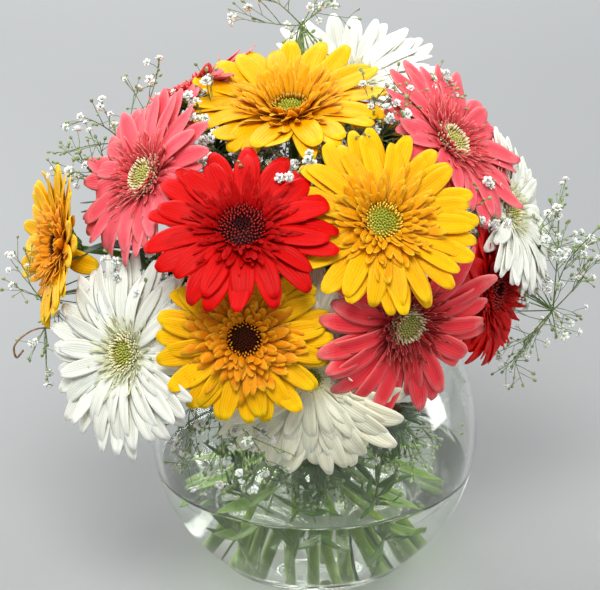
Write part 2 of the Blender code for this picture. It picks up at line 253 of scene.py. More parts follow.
def petal_paint(name, base, middle, tip, edge, edge_share, vein=0.10):
    """A ray petal: colour runs from base to tip, the edge is paler, fine veins run along it."""
    base, middle, tip, edge = (linear(*colour) for colour in (base, middle, tip, edge))
    p = Paint(name, roughness=0.52, subsurface_weight=0.22, subsurface_scale=0.0016,
              subsurface_radius=(1.0, 0.6, 0.4), specular_ior_level=0.10)
    across, along = p.uv()
    tone = p.attribute("tone")
    grain = p.noise(p.place(), 260.0, 4.0)
    run = along + (grain - 0.5) * 0.16 + (tone - 0.5) * 0.10
    colour = p.ramp(run, (0.0, base), (0.32, middle), (0.80, middle), (1.0, tip))
    rim = abs(across - 0.5) * 2.0
    rim = (rim ** 3.0) * edge_share * (along * 0.7 + 0.3)
    colour = p.mix(rim, colour, edge)
    strands = (across * 44.0 + (grain - 0.5) * 2.2 + tone * 9.0).sine() * 0.5 + 0.5
    broad = (across * 12.57).sine() * 0.5 + 0.5
    shade = 1.0 - strands * vein - (tone * 0.16) - (broad * vein * 0.8)
    p.set("Base Color", p.shaded(colour, shade))
    p.set("Roughness", 0.46 + grain * 0.16)
    p.bump(strands * 0.6 + broad * 0.6 + grain * 0.5, 0.00016)
    return p.material


def floret_paint(name, base, middle, tip, middle_at=0.55, grain_scale=700.0, dim=0.80, play=0.30,
                 **surface):
    """Small florets: one colour low down, another at the ends; each is a little lighter or darker."""
    base, middle, tip = (linear(*colour) for colour in (base, middle, tip))
    p = Paint(name, **{"roughness": 0.6, "subsurface_weight": 0.15, "subsurface_scale": 0.0008,
                       "specular_ior_level": 0.15, **surface})
    along = p.uv()[1]
    tone = p.attribute("tone")
    grain = p.noise(p.place(), grain_scale, 2.0)
    colour = p.ramp(along + (grain - 0.5) * 0.2, (0.0, base), (middle_at, middle), (1.0, tip))
    p.set("Base Color", p.shaded(colour, dim + tone * play))
    p.bump(grain, 0.0001)
    return p.material


def stem_paint():
    p = Paint("stem_skin", roughness=0.48, subsurface_weight=0.15, subsurface_scale=0.002)
    where = p.place()
    grain = p.noise(where, 140.0, 5.0)
    height = p.parts(where)[2].rise(0.02, 0.16)
    low, high = linear(114, 146, 40), linear(76, 108, 30)
    colour = p.mix(height, low, high)
    colour = p.mix((grain - 0.35) * 0.9, colour, linear(50, 78, 22))
    ribs = (p.uv()[0] * 75.0 + grain * 2.0).sine() * 0.5 + 0.5
    p.set("Base Color", p.mix(ribs * 0.2, colour, linear(146, 174, 62)))
    p.set("Roughness", 0.40 + grain * 0.25)
    p.bump(ribs + grain, 0.00018)
    return p.material


def leaf_paint(name, dark, pale):
    p = Paint(name, roughness=0.42, subsurface_weight=0.1, subsurface_scale=0.001)
    across, along = p.uv()
    grain = p.noise(p.place(), 180.0, 4.0)
    rib = 1.0 - (abs(across - 0.5) * 26.0).at_most(1.0)
    side = ((along * 60.0 - abs(across - 0.5) * 30.0 + grain * 1.5).sine() * 0.5 + 0.5) ** 4.0
    colour = p.mix(grain, linear(*dark), linear(*pale))
    p.set("Base Color", p.mix((rib * 0.7 + side * 0.25).at_most(1.0), colour, linear(120, 150, 80)))
    p.set("Roughness", 0.36 + grain * 0.2)
    p.bump(grain * 0.5 - rib * 0.8 - side * 0.4, 0.0003)
    return p.material


def clear_paint(name, colour, index, shadow, straight=0.0):
    """Glass or water; shadow is the share of the light that goes through each side of it, and
    straight the share of what is seen through it that isn't bent."""
    p = Paint(name, base_color=colour, transmission_weight=1.0, ior=index, roughness=0.0)
    rays = p.tree.nodes.new("ShaderNodeLightPath")
    through = p.tree.nodes.new("ShaderNodeBsdfTransparent")
    through.inputs["Color"].default_value = (*[c * shadow for c in colour], 1)
    both = p.tree.nodes.new("ShaderNodeMixShader")
    p._feed(both.inputs[0], Wire(p, rays.outputs["Is Shadow Ray"]) * (1.0 - straight) + straight)
    p.tree.links.new(p.surface.outputs[0], both.inputs[1])
    p.tree.links.new(through.outputs[0], both.inputs[2])
    p.tree.links.new(both.outputs[0], p.output.inputs["Surface"])
    return p.material


def floor_paint():
    p = Paint("pale_floor", roughness=0.85, specular_ior_level=0.2)
    grain = p.noise(p.place(), 3.0, 2.0)
    p.set("Base Color", p.mix(grain, (0.258, 0.263, 0.262), (0.268, 0.273, 0.272)))
    return p.material


# ---------------------------------------------------------------- modelling helpers


def mode(name):
    bpy.ops.object.mode_set(mode=name)


def deselect():
    if bpy.context.object and bpy.context.object.mode == "EDIT":
        mode("OBJECT")
    bpy.ops.object.select_all(action="DESELECT")


def choose(thing):
    """Makes a thing the only one selected."""
    deselect()
    thing.select_set(True)
    bpy.context.view_layer.objects.active = thing


def shown(name, data):
    """A chosen object made of mesh or curve data."""
    thing = bpy.data.objects.new(name, data)
    bpy.context.scene.collection.objects.link(thing)
    choose(thing)
    return thing


def started(name):
    """Names the primitive just added."""
    thing = bpy.context.object
    thing.name = thing.data.name = name
    return thing


def pick(thing, rule):
    """Selects the vertices that the rule accepts, in edit mode."""
    bm = bmesh.from_edit_mesh(thing.data)
    bm.select_mode = {"VERT"}
    for vertex in bm.verts:
        vertex.select = bool(rule(vertex.co))
    bm.select_flush_mode()
    bmesh.update_edit_mesh(thing.data)


def settle(thing):
    """Puts the object's place, turn and scale into its mesh."""
    choose(thing)
    bpy.ops.object.transform_apply(location=True, rotation=True, scale=True)


def apply_modifiers(thing):
    choose(thing)
    for modifier in list(thing.modifiers):
        bpy.ops.object.modifier_apply(modifier=modifier.name)


def seal():
    """Merges the doubled points of the mesh being edited and turns its faces outwards."""
    bpy.ops.mesh.select_all(action="SELECT")
    bpy.ops.mesh.remove_doubles(threshold=1e-6)
    bpy.ops.mesh.normals_make_consistent(inside=False)
    mode("OBJECT")


def subdivide(thing, levels):
    soft = thing.modifiers.new("soft", "SUBSURF")
    soft.levels = soft.render_levels = levels
    soft.boundary_smooth = "ALL"


def thicken(thing, thickness):
    wall = thing.modifiers.new("wall", "SOLIDIFY")
    wall.thickness = thickness
    wall.offset = 0


def set_marks(mesh, **marks):
    """Gives every point of a mesh the same values of named attributes."""
    for name, value in marks.items():
        layer = mesh.attributes.get(name) or mesh.attributes.new(name, "FLOAT", "POINT")
        layer.data.foreach_set("value", np.full(len(mesh.vertices), value, dtype=np.float32))


def points_of(mesh):
    flat = np.empty(len(mesh.vertices) * 3, dtype=np.float32)
    mesh.vertices.foreach_get("co", flat)
    return flat.reshape(-1, 3).astype(float)


def copy_shaped(template, points, tone):
    """A copy of a modelled shape with its own mesh, its points moved."""
    mesh = template.data.copy()
    mesh.vertices.foreach_set("co", np.ascontiguousarray(points, dtype=np.float32).ravel())
    set_marks(mesh, tone=tone)
    made = bpy.data.objects.new(template.name + "_copy", mesh)
    bpy.context.scene.collection.objects.link(made)
    return made


def joined(name, pieces, material=None):
    """Makes one object of many copies."""
    deselect()
    for piece in pieces:
        piece.select_set(True)
    bpy.context.view_layer.objects.active = pieces[0]
    if len(pieces) > 1:
        bpy.ops.object.join()
    whole = started(name)
    if material:
        whole.data.materials.clear()
        whole.data.materials.append(material)
    bpy.ops.object.shade_smooth()
    return whole


def take(piece, slot, *nodes):
    """A finished piece: it rides on the one body, and the frame's nodes it stands for are hidden. The slot
    is not used.
    """
    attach(piece, "root")
    if nodes:
        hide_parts(*nodes)


def cad_points(node):
    return points_of(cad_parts[node].data)


# ---------------------------------------------------------------- petals

PETAL_SKIN = 0.00042
BEND_STEPS = 32


def petal_template(name, widths, ridge, columns=4, levels=1, skin=PETAL_SKIN, tip_back=0.0):
    """A petal 1 long and 1 wide lying along +Y; its heights are real. Subdivided and given a skin."""
    deselect()
    rows = len(widths) - 1
    bpy.ops.mesh.primitive_grid_add(x_subdivisions=columns, y_subdivisions=rows, size=1,
                                    location=(0, 0.5, 0), calc_uvs=True)
    petal = started(name)
    settle(petal)
    mode("EDIT")
    heights = sorted({round(v.co.y, 4) for v in petal.data.vertices})
    for y, width in zip(heights, widths):
        pick(petal, lambda co: abs(co.y - y) < 1e-3)
        bpy.ops.transform.resize(value=(width, 1, 1), center_override=(0, y, 0))
    if ridge:
        for column in range(1, columns, 2):
            share = column / columns - 0.5
            pick(petal, lambda co: abs(co.x - share * widths[heights.index(round(co.y, 4))]) < 1e-3
                 and 0.05 < co.y < 0.97)
            bpy.ops.transform.translate(value=(0, 0, ridge))
    if tip_back:
        pick(petal, lambda co: co.y > 0.99 and abs(co.x) > widths[-1] * 0.3)
        bpy.ops.transform.translate(value=(0, -tip_back, 0))
    mode("OBJECT")
    if levels:
        subdivide(petal, levels)
    thicken(petal, skin)
    apply_modifiers(petal)
    set_marks(petal.data, tone=0.5)
    return petal


def pose_petal(template, length, width, start, rise, bend, curl=0.0, twist=0.0, sway=0.0, trough=0.0,
               height=0.0, turn=0.0, tone=None):
    """A bent copy of a flat petal: it leaves the hub at radius start and angle rise, turns by bend on
    its way and by curl near its tip, and stands at bearing turn round the bloom's axis."""
    points = points_of(template.data)
    x, y, z = points[:, 0] * width, points[:, 1].clip(0, 1), points[:, 2].copy()
    table = np.linspace(0, 1, BEND_STEPS + 1)
    angle = rise + bend * table + curl * table ** 4
    step = length / BEND_STEPS
    out = np.concatenate(([0], np.cumsum(np.cos((angle[1:] + angle[:-1]) / 2) * step)))
    up = np.concatenate(([0], np.cumsum(np.sin((angle[1:] + angle[:-1]) / 2) * step)))
    slope = np.interp(y, table, angle)
    z = z + trough * (np.abs(points[:, 0]) * 2) ** 2 * np.sin(np.pi * np.minimum(y * 1.1, 1))
    roll = twist * y
    x, z = x * np.cos(roll) - z * np.sin(roll), x * np.sin(roll) + z * np.cos(roll)
    side = x + sway * y ** 2 * length
    radius = start + np.interp(y, table, out) - np.sin(slope) * z
    top = height + np.interp(y, table, up) + np.cos(slope) * z
    c, s = math.cos(turn), math.sin(turn)
    bent = np.stack((radius * c - side * s, radius * s + side * c, top), axis=1)
    return copy_shaped(template, bent, chance.random() if tone is None else tone)


# ---------------------------------------------------------------- reading a bloom from the frame


def axis_of(points):
    """Centre and thinnest direction of a flat round solid."""
    centre = points.mean(axis=0)
    _, vectors = np.linalg.eigh(np.cov((points - centre).T))
    return centre, vectors[:, 0]


BEARINGS = 28


class Bloom:
    """Where a bloom's solids are: its place, the way it faces and the reach of its petals."""

    def __init__(self, name):
        self.name = name
        heart = cad_points(name + "_heart")
        stem = cad_points(name + "_stem")
        petals = cad_points(name + "_petals")
        centre, face = axis_of(heart)
        cup = stem[np.linalg.norm(stem - centre, axis=1).argsort()[:12]].mean(axis=0)
        if face @ (centre - cup) < 0:
            face = -face
        self.face = Vector(face)
        level = (heart @ face).min()
        self.centre = Vector(centre + face * (level - centre @ face))
        turn = self.face.to_track_quat("Z", "Y").to_matrix().to_4x4()
        self.matrix = Matrix.Translation(self.centre) @ turn
        local = self.to_local(petals)
        radius = np.hypot(local[:, 0], local[:, 1])
        bearing = np.arctan2(local[:, 1], local[:, 0])
        self.bearings = np.linspace(-math.pi, math.pi, BEARINGS + 1)[:-1]
        self.reach, self.tip = [], []
        for b in self.bearings:
            near = np.abs((bearing - b + math.pi) % math.tau - math.pi) < 0.30
            far = np.where(near, radius, 0).argmax()
            self.reach.append(radius[far])
            self.tip.append(local[far, 2])

    def to_local(self, points):
        inverse = np.array(self.matrix.inverted())
        return points @ inverse[:3, :3].T + inverse[:3, 3]

    def petal_end(self, bearing):
        """How far out and how high a petal ends at a bearing round the bloom."""
        b = (bearing + math.pi) % math.tau - math.pi
        reach = np.interp(b, self.bearings, self.reach, period=math.tau)
        tip = np.interp(b, self.bearings, self.tip, period=math.tau)
        return float(reach), float(tip)

    def down(self, bearing):
        """1 for a petal that points straight down, -1 for one that points up."""
        way = self.matrix.to_3x3() @ Vector((math.cos(bearing), math.sin(bearing), 0))
        return -way.z


def place(piece, bloom):
    piece.data.transform(bloom.matrix)
    return piece


# ---------------------------------------------------------------- kinds of gerbera

# For each kind: rows of ray petals as (count, share of the reach, width), how steeply they leave the
# hub, how much those that hang down sag, how much their ends may curl; then rings of inner florets as
# (count, length, width, angle), and the disc's radius. Lengths are in millimetres.
KINDS = {
    "red": dict(
        petal="broad", rows=((17, 1.00, 14.2), (14, 0.86, 12.8)), lift=0.20, sag=0.60, curl=0.5,
        inner=((34, 20, 4.2, 0.34), (32, 15.5, 3.8, 0.46), (28, 11, 3.2, 0.64), (24, 7.5, 2.6, 0.88)),
        disc=13.8, centre=0.28, colours="red", disc_slot="disc_dark"),
    "yellow": dict(
        petal="round", rows=((21, 1.00, 12.2), (18, 0.92, 11.2)), lift=0.16, sag=0.30, curl=0.5,
        inner=((34, 25.5, 4.8, 0.20), (34, 21.5, 4.4, 0.34), (30, 16.5, 4, 0.52),
               (28, 12, 3.2, 0.72), (24, 8, 2.6, 0.95)),
        inner_shape="round_small", disc=12.5, colours="yellow", disc_slot="disc_green"),
    "tall_yellow": dict(
        petal="round", rows=((17, 1.00, 15), (14, 0.93, 13.8)), lift=0.24, sag=0.45, curl=0.8,
        inner=((34, 26, 4.8, 0.42), (32, 23, 4.4, 0.62), (30, 18.5, 4, 0.80),
               (26, 14, 3.4, 0.95), (22, 9.5, 2.8, 1.10)),
        inner_shape="round_small", disc=13, colours="yellow", inner_colours="amber",
        disc_colours="brown_green", disc_slot="disc_green"),
    "orange": dict(
        petal="round", rows=((20, 1.00, 12), (16, 0.92, 11)), lift=0.16, sag=0.35, curl=0.5,
        inner=((34, 22.5, 6.2, 0.24), (32, 19, 5.6, 0.38), (30, 15, 5, 0.54),
               (27, 11.2, 4, 0.76), (24, 7.6, 3, 1.00)),
        inner_shape="round_small", disc=11.8, colours="orange", disc_slot="disc_dark"),
    "white": dict(
        petal="broad", rows=((22, 1.00, 12.2), (20, 0.94, 11.2), (17, 0.81, 9.4)), lift=0.20,
        sag=0.25, curl=0.5,
        inner=((28, 17, 3, 0.30), (24, 12.5, 2.6, 0.50), (22, 9, 2.2, 0.72), (20, 6, 1.8, 0.95)),
        disc=11.8, colours="white"),
    "full_white": dict(
        petal="broad", rows=((22, 1.00, 12.4), (22, 0.93, 11.6), (20, 0.83, 10.6), (18, 0.69, 9.2),
                             (16, 0.53, 7.6)), lift=0.22, sag=0.30, curl=0.4,
        inner=((24, 15, 3.6, 0.50), (22, 11, 3, 0.75), (20, 7, 2.4, 1.00)),
        disc=11, colours="cream", slot="white"),
    "pink": dict(
        petal="ridged", rows=((21, 1.00, 12.6), (18, 0.90, 11.6)), lift=0.20, sag=0.30, curl=0.9,
        inner=((34, 19.5, 2.6, 0.28), (32, 16, 2.4, 0.42), (30, 12.5, 2.2, 0.60),
               (26, 9, 2, 0.82), (22, 6, 1.7, 1.05)),
        disc=12.2, colours="pink"),
}
KINDS["rose"] = dict(KINDS["pink"], colours="rose", petal="broad",
                     rows=((18, 1.00, 12.6), (15, 0.90, 11.6)))
KINDS["salmon"] = dict(KINDS["pink"], colours="salmon")
KINDS["low_yellow"] = dict(KINDS["orange"], slot="yellow", disc_slot="disc_green")

BLOOMS = {
    "red_front": "red", "yellow_right": "yellow", "yellow_top": "tall_yellow", "pink_left": "pink",
    "pink_right": "pink", "rose_low": "rose", "orange_low": "orange", "white_left": "white",
    "yellow_left": "low_yellow", "white_low": "full_white", "red_right": "red", "white_right": "white",
    "white_top": "white", "pink_back_left": "pink", "red_back": "red", "salmon_right_back": "salmon",
    "yellow_back": "yellow",
}

# base, middle, tip and edge colours of the petals, 0 to 255, and how much of the edge colour shows
RAY_COLOURS = {
    "red": ((136, 0, 1), (210, 3, 1), (217, 6, 3), (226, 24, 12), 0.25),
    "yellow": ((246, 156, 0), (252, 180, 2), (255, 198, 8), (255, 214, 44), 0.35),
    "orange": ((244, 146, 0), (255, 184, 2), (255, 206, 12), (255, 216, 40), 0.35),
    "white": ((222, 224, 176), (246, 245, 230), (251, 250, 241), (253, 253, 248), 0.2),
    "cream": ((232, 224, 168), (251, 246, 216), (254, 250, 228), (255, 253, 242), 0.25),
    "pink": ((216, 34, 50), (245, 86, 98), (252, 122, 128), (254, 176, 172), 0.50),
    "rose": ((190, 10, 28), (246, 58, 68), (252, 126, 124), (252, 166, 160), 0.50),
    "salmon": ((206, 54, 44), (228, 104, 84), (238, 150, 126), (248, 194, 172), 0.5),
}
INNER_COLOURS = {
    "red": ((124, 0, 2), (182, 3, 3), (206, 7, 5), (222, 40, 28), 0.25),
    "yellow": ((234, 132, 0), (248, 162, 2), (255, 196, 24), (255, 218, 84), 0.5),
    "amber": ((246, 146, 0), (253, 168, 6), (255, 194, 26), (255, 218, 90), 0.5),
    "orange": ((230, 112, 0), (246, 146, 4), (255, 180, 26), (255, 210, 84), 0.5),
    "white": ((196, 204, 120), (230, 230, 186), (248, 246, 228), (251, 251, 242), 0.3),
    "cream": ((214, 204, 126), (242, 236, 194), (250, 246, 220), (252, 250, 238), 0.3),
    "pink": ((200, 34, 44), (230, 62, 72), (248, 134, 126), (253, 188, 176), 0.4),
    "rose": ((130, 4, 20), (180, 20, 32), (222, 92, 88), (240, 156, 140), 0.4),
    "salmon": ((196, 56, 40), (220, 100, 78), (240, 162, 136), (248, 196, 174), 0.4),
}
# bud in the middle of the disc, then the open florets of its ring: base, middle, tip
DISC_COLOURS = {
    "red": (((14, 0, 2), (34, 1, 3), (64, 4, 6)),
            ((30, 0, 3), (92, 2, 6), (166, 40, 36))),
    "yellow": (((90, 100, 20), (150, 156, 40), (186, 186, 70)),
               ((200, 150, 10), (232, 184, 30), (246, 214, 80))),
    "orange": (((26, 8, 4), (50, 18, 6), (86, 34, 8)),
               ((40, 14, 4), (80, 34, 8), (236, 150, 30))),
    "white": (((110, 120, 30), (160, 166, 60), (200, 200, 110)),
              ((150, 140, 60), (214, 206, 140), (240, 236, 196))),
    "pink": (((120, 122, 40), (176, 172, 80), (206, 200, 130)),
             ((190, 150, 90), (226, 206, 150), (240, 228, 190))),
}
DISC_COLOURS["brown_green"] = (DISC_COLOURS["yellow"][0],
                               ((96, 60, 10), (150, 100, 20), (214, 170, 60)))
DISC_COLOURS["rose"] = DISC_COLOURS["salmon"] = DISC_COLOURS["pink"]
DISC_COLOURS["cream"] = DISC_COLOURS["white"]


# Ray petals: their breadths from base to tip, the height of their ridges and the notch at the tip.
RAY_SHAPES = {
    "broad": ((0.34, 0.62, 0.86, 0.98, 1.0, 0.86, 0.40), 0.0007, 0.02),
    "round": ((0.36, 0.66, 0.90, 1.0, 1.0, 0.90, 0.52), 0.0009, 0.03),
    "ridged": ((0.36, 0.66, 0.90, 1.0, 0.98, 0.80, 0.34), 0.0010, 0.02),
}


def petal_shapes():
    shapes = {name: petal_template(name + "_petal", widths, ridge, tip_back=notch)
              for name, (widths, ridge, notch) in RAY_SHAPES.items()}
    shapes["point"] = petal_template("pointed_floret", (0.5, 0.9, 1.0, 0.8, 0.2), 0.0, 2, 0, 0.0003)
    shapes["round_small"] = petal_template(
        "rounded_floret", (0.5, 0.84, 1.0, 1.0, 0.86, 0.40), 0.0004, 2, 0, 0.0003, 0.05)
    return shapes


def rays(bloom, kind, shapes, material):
    """The ray petals: rows that overlap, each petal fitted to the room that the bloom has there."""
    template = shapes[kind["petal"]]
    pieces = []
    for row, (count, share, width) in enumerate(kind["rows"]):
        for k in range(count):
            turn = math.tau * (k + 0.5 * row) / count + between(-0.06, 0.06)
            reach, tip = bloom.petal_end(turn)
            start = 0.0100 - 0.0010 * row
            height = 0.0004 + 0.0011 * row
            run = (reach - start) * share * between(0.97, 1.05)
            rise_to = (tip - height) * share + 0.0016 * row
            length = math.hypot(run, rise_to)
            mean = math.atan2(rise_to, run)
            lift = kind["lift"] + between(-0.08, 0.10) + 0.06 * row
            sag = kind["sag"] * max(bloom.down(turn), 0) * between(0.3, 1.0)
            bend = 2 * (mean - lift) - sag * 0.4
            pieces.append(pose_petal(
                template, length * 1.03, mm(width) * between(0.90, 1.10), start, lift, bend,
                curl=between(-1.0, 0.6) * kind["curl"] - sag, twist=between(-0.30, 0.30),
                sway=between(-0.10, 0.10), trough=between(0.0004, 0.0016), height=height, turn=turn))
    return place(joined(bloom.name + "_ray_petals", pieces, material), bloom)


def inner_florets(bloom, kind, shapes, material):
    """The short florets that stand in rings between the rays and the disc."""
    template = shapes[kind.get("inner_shape", "point")]
    pieces = []
    for row, (count, length, width, lift) in enumerate(kind["inner"]):
        for k in range(count):
            turn = math.tau * (k + 0.37 * row) / count + between(-0.10, 0.10)
            pieces.append(pose_petal(
                template, mm(length) * between(0.80, 1.15), mm(width) * between(0.85, 1.15),
                mm(kind["disc"]) - 0.0006 * row, lift + between(-0.12, 0.12), between(-0.5, 0.1),
                curl=between(-0.3, 1.1), twist=between(-0.6, 0.6), sway=between(-0.2, 0.2),
                trough=between(0.0002, 0.0009), height=0.0018 + 0.0007 * row, turn=turn))
    return place(joined(bloom.name + "_inner_florets", pieces, material), bloom)


def floret_shapes():
    """A closed bud and an open floret of the disc, both standing on the origin."""
    deselect()
    bpy.ops.mesh.primitive_uv_sphere_add(segments=6, ring_count=5, radius=1, calc_uvs=True)
    bud = started("closed_bud")
    bud.scale = (0.00062, 0.00062, 0.00150)
    bud.location.z = 0.0010
    settle(bud)
    deselect()
    bpy.ops.mesh.primitive_cone_add(vertices=6, radius1=0.00030, radius2=0.00052, depth=0.0030,
                                    location=(0, 0, 0.0015), calc_uvs=True)
    open_floret = started("open_floret")
    settle(open_floret)
    mode("EDIT")
    pick(open_floret, lambda co: co.z > 0.0029)
    bpy.ops.mesh.inset(thickness=0.00022)
    bpy.ops.transform.translate(value=(0, 0, 0.0010))
    bpy.ops.transform.resize(value=(1.5, 1.5, 1))
    mode("OBJECT")
    for shape in (bud, open_floret):
        top = max(v.co.z for v in shape.data.vertices)
        layer = shape.data.uv_layers[0]
        layer.name = "UVMap"
        for loop, uv in zip(shape.data.loops, layer.data):
            uv.uv = (0.5, max(shape.data.vertices[loop.vertex_index].co.z, 0) / top)
        set_marks(shape.data, tone=0.5)
    return bud, open_floret


GOLDEN = math.pi * (3 - math.sqrt(5))
DISC_FLORETS = 230
DISC_DOME = 0.0036


def disc(bloom, kind, shapes, bud_material, open_material):
    """The disc: closed buds packed in a spiral in the middle, open florets round them, on a dome."""
    bud, open_floret = shapes
    inner = kind.get("centre", 0.50)
    for template, material, name in ((bud, bud_material, "_disc_buds"),
                                     (open_floret, open_material, "_disc_ring")):
        flat = points_of(template.data)
        pieces = []
        for i in range(DISC_FLORETS):
            share = math.sqrt((i + 0.5) / DISC_FLORETS)
            if (share < inner) != (template is bud):
                continue
            turn = i * GOLDEN
            r = mm(kind["disc"]) * share
            lean = share * 0.75 + between(-0.12, 0.12)
            tall = between(0.85, 1.15) * (0.8 if template is bud else 1.0)
            x, y, z = flat[:, 0], flat[:, 1], flat[:, 2] * tall
            out = x * math.cos(lean) + z * math.sin(lean) + r
            up = z * math.cos(lean) - x * math.sin(lean) + DISC_DOME * math.cos(share * 1.3) + 0.0004
            c, s = math.cos(turn), math.sin(turn)
            points = np.stack((out * c - y * s, out * s + y * c, up), axis=1)
            pieces.append(copy_shaped(template, points, chance.random()))
        yield place(joined(bloom.name + name, pieces, material), bloom)


def cushion(bloom, kind, material):
    """The solid dome under the disc's florets."""
    deselect()
    bpy.ops.mesh.primitive_uv_sphere_add(segments=24, ring_count=12, radius=1, calc_uvs=True)
    dome = started(bloom.name + "_disc_cushion")
    dome.scale = (mm(kind["disc"]) * 0.99, mm(kind["disc"]) * 0.99, 0.0040)
    settle(dome)
    mode("EDIT")
    pick(dome, lambda co: co.z < -0.0004)
    bpy.ops.transform.resize(value=(0.9, 0.9, 0.3))
    mode("OBJECT")
    set_marks(dome.data, tone=0.2)
    return place(joined(dome.name, [dome], material), bloom)


# ---------------------------------------------------------------- stems


def ring_centres(points, reach):
    """Centres of the rings of points along a tube, from the lowest up."""
    left = points[points[:, 2].argsort()]
    centres = []
    while len(left):
        near = np.linalg.norm(left - left[0], axis=1) < reach
        centres.append(left[near].mean(axis=0))
        left = left[~near]
    return centres


def stalk_centres(node):
    """The straight part of a thin stalk, from the foot to the bowl's mouth."""
    points = cad_points(node)
    points = points[(points[:, 2] < 0.150) & (np.hypot(points[:, 0], points[:, 1]) < 0.0475)]
    return ring_centres(points, 0.004)[:4]


def smooth_line(centres, steps):
    """Points of a smooth curve through the centres."""
    centres = [np.array(p) for p in centres]
    ends = [2 * centres[0] - centres[1]] + centres + [2 * centres[-1] - centres[-2]]
    line = []
    for a, b, c, d in zip(ends, ends[1:], ends[2:], ends[3:]):
        for i in range(steps):
            t = i / steps
            line.append(0.5 * (2 * b + (c - a) * t + (2 * a - 5 * b + 4 * c - d) * t * t
                               + (3 * b - a - 3 * c + d) * t ** 3))
    return line + [centres[-1]]


def rods(name, runs, thickness, sides, material):
    """Closed round rods along runs of (point, radius share), made one mesh with UVs along them."""
    curve = bpy.data.curves.new(name, "CURVE")
    curve.dimensions = "3D"
    curve.bevel_depth = thickness
    curve.bevel_resolution = sides
    curve.use_fill_caps = True
    for run in runs:
        spline = curve.splines.new("POLY")
        spline.points.add(len(run) - 1)
        for spot, (at, share) in zip(spline.points, run):
            spot.co = (*at, 1)
            spot.radius = share
    shown(name, curve)
    bpy.ops.object.convert(target="MESH")
    thing = started(name)
    mode("EDIT")
    seal()
    set_marks(thing.data, tone=0.5)
    thing.data.materials.clear()
    thing.data.materials.append(material)
    bpy.ops.object.shade_smooth_by_angle(angle=math.radians(50))
    return thing


STEM_RADIUS = 0.0025
# how the stem widens into the cup: height over the neck, share of the stem's radius
CUP = ((0.0016, 1.5), (0.0034, 2.5), (0.0056, 3.4), (0.0080, 4.0), (0.0098, 4.3))
# rows of bracts: count, length, radius and height at which they start
BRACT_ROWS = ((16, 0.0120, 0.0062, -0.0088), (14, 0.0095, 0.0052, -0.0100))


def stem(bloom, material):
    """A gerbera's leafless stem, thicker at the foot, flaring into the green cup."""
    points = cad_points(bloom.name + "_stem")
    face = np.array(bloom.face)
    neck = np.array(bloom.centre) - face * 0.0112
    below = points[(points - neck) @ face < -0.002]
    centres = ring_centres(below, 0.0075)
    line = smooth_line(centres + [neck], 6)
    run = [(p, 1.06 - 0.22 * i / len(line)) for i, p in enumerate(line)]
    run += [(neck + face * rise, share) for rise, share in CUP]
    return rods(bloom.name + "_stalk", [run], STEM_RADIUS, 3, material)


def bracts(bloom, template, material):
    """Two rings of narrow green scales that hug the cup under the petals."""
    pieces = []
    for row, (count, length, start, height) in enumerate(BRACT_ROWS):
        for k in range(count):
            turn = math.tau * (k + 0.5 * row) / count
            pieces.append(pose_petal(template, length * between(0.9, 1.1), 0.0030, start, 1.15, -0.75,
                                     curl=between(-0.5, 0.1), height=height, turn=turn))
    return place(joined(bloom.name + "_bracts", pieces, material), bloom)


def gerbera(name, shapes, florets, paints):
    kind = KINDS[BLOOMS[name]]
    colours = kind["colours"]
    middle = kind.get("disc_colours", colours)
    bloom = Bloom(name)
    petal_slot = "petals_" + kind.get("slot", colours)
    disc_slot = kind.get("disc_slot", "disc_cream")
    take(rays(bloom, kind, shapes, paints["ray_" + colours]), petal_slot, name + "_petals")
    inner_paint = paints["inner_" + kind.get("inner_colours", colours)]
    take(inner_florets(bloom, kind, shapes, inner_paint), petal_slot)
    buds, ring = disc(bloom, kind, florets, paints["bud_" + middle], paints["ring_" + middle])
    take(buds, disc_slot, name + "_heart")
    take(ring, disc_slot)
    take(cushion(bloom, kind, paints["bud_" + middle]), disc_slot)
    take(stem(bloom, paints["stem"]), "stem", name + "_stem")
    take(bracts(bloom, shapes["point"], paints["bract"]), "stem")


# ---------------------------------------------------------------- bowl and water

BOWL_SEGMENTS = 128
WALL = 0.0035
BASE_THICK = 0.006


def lathe(name, profile, material):
    """Spins a profile of (radius, height) round the bowl's axis."""
    mesh = bpy.data.meshes.new(name)
    mesh.from_pydata([(r, 0, z) for r, z in profile], [(i, i + 1) for i in range(len(profile) - 1)], [])
    thing = shown(name, mesh)
    mode("EDIT")
    bpy.ops.mesh.select_all(action="SELECT")
    bpy.ops.mesh.spin(steps=BOWL_SEGMENTS, angle=math.tau, center=(0, 0, 0), axis=(0, 0, 1))
    seal()
    thing.data.materials.append(material)
    bpy.ops.object.shade_smooth()
    return thing


def sphere_line(radius, middle, low, high, steps):
    """Profile points on a sphere from height low up to height high."""
    a, b = math.asin((low - middle) / radius), math.asin((high - middle) / radius)
    for i in range(steps + 1):
        t = a + (b - a) * i / steps
        yield radius * math.cos(t), middle + radius * math.sin(t)


def round_corner(centre, radius, start, stop, steps):
    for i in range(steps + 1):
        t = math.radians(start + (stop - start) * i / steps)
        yield centre[0] + radius * math.cos(t), centre[1] + radius * math.sin(t)


def bowl_sizes():
    low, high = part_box("glass_bowl")
    radius = (high[0] - low[0]) / 2
    points = cad_points("glass_bowl")
    distance = np.hypot(points[:, 0], points[:, 1])
    middle = points[distance > radius * 0.99][:, 2].mean()
    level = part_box("water")[1][2]
    return radius, float(middle), float(high[2]), float(level)


